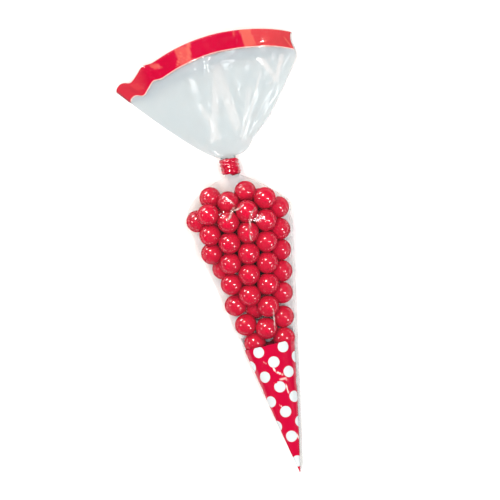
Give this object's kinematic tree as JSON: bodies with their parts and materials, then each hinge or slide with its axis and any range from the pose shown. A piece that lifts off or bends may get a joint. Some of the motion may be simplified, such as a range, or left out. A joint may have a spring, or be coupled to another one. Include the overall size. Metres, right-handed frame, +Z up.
{
  "type": "cellophane cone bag",
  "caption": "Clear film cone bag filled with round red sweets, closed at the neck by a red twist tie, with a red rim band and a dotted red tip.",
  "frame": {"origin": "on the floor, on the pressed-flat underside of the filled cone, below the middle of the load", "axes": "+Y from the tip to the open mouth, +Z up from the floor, +X to the right"},
  "size_m": [0.1525, 0.3678, 0.0533],
  "materials": {
    "film": "clear glossy film, printed red in a band at the rim and, with white dots, on the tip",
    "tie": "glossy red plastic strip over a thin wire",
    "sweet": "polished red sugar shell"
  },
  "bodies": {
    "root": {"cone_bag": "film", "twist_tie": "tie", "sweet_01": "sweet", "sweet_02": "sweet", "sweet_03": "sweet", "sweet_04": "sweet", "sweet_05": "sweet", "sweet_06": "sweet", "sweet_07": "sweet", "sweet_08": "sweet", "sweet_09": "sweet", "sweet_10": "sweet", "sweet_11": "sweet", "sweet_12": "sweet", "sweet_13": "sweet", "sweet_14": "sweet", "sweet_15": "sweet", "sweet_16": "sweet", "sweet_17": "sweet", "sweet_18": "sweet", "sweet_19": "sweet", "sweet_20": "sweet", "sweet_21": "sweet", "sweet_22": "sweet", "sweet_23": "sweet", "sweet_24": "sweet", "sweet_25": "sweet", "sweet_26": "sweet", "sweet_27": "sweet", "sweet_28": "sweet", "sweet_29": "sweet", "sweet_30": "sweet", "sweet_31": "sweet", "sweet_32": "sweet", "sweet_33": "sweet", "sweet_34": "sweet", "sweet_35": "sweet", "sweet_36": "sweet", "sweet_37": "sweet", "sweet_38": "sweet", "sweet_39": "sweet", "sweet_40": "sweet", "sweet_41": "sweet", "sweet_42": "sweet", "sweet_43": "sweet", "sweet_44": "sweet", "sweet_45": "sweet", "sweet_46": "sweet", "sweet_47": "sweet", "sweet_48": "sweet", "sweet_49": "sweet", "sweet_50": "sweet", "sweet_51": "sweet", "sweet_52": "sweet"}
  },
  "joints": []
}
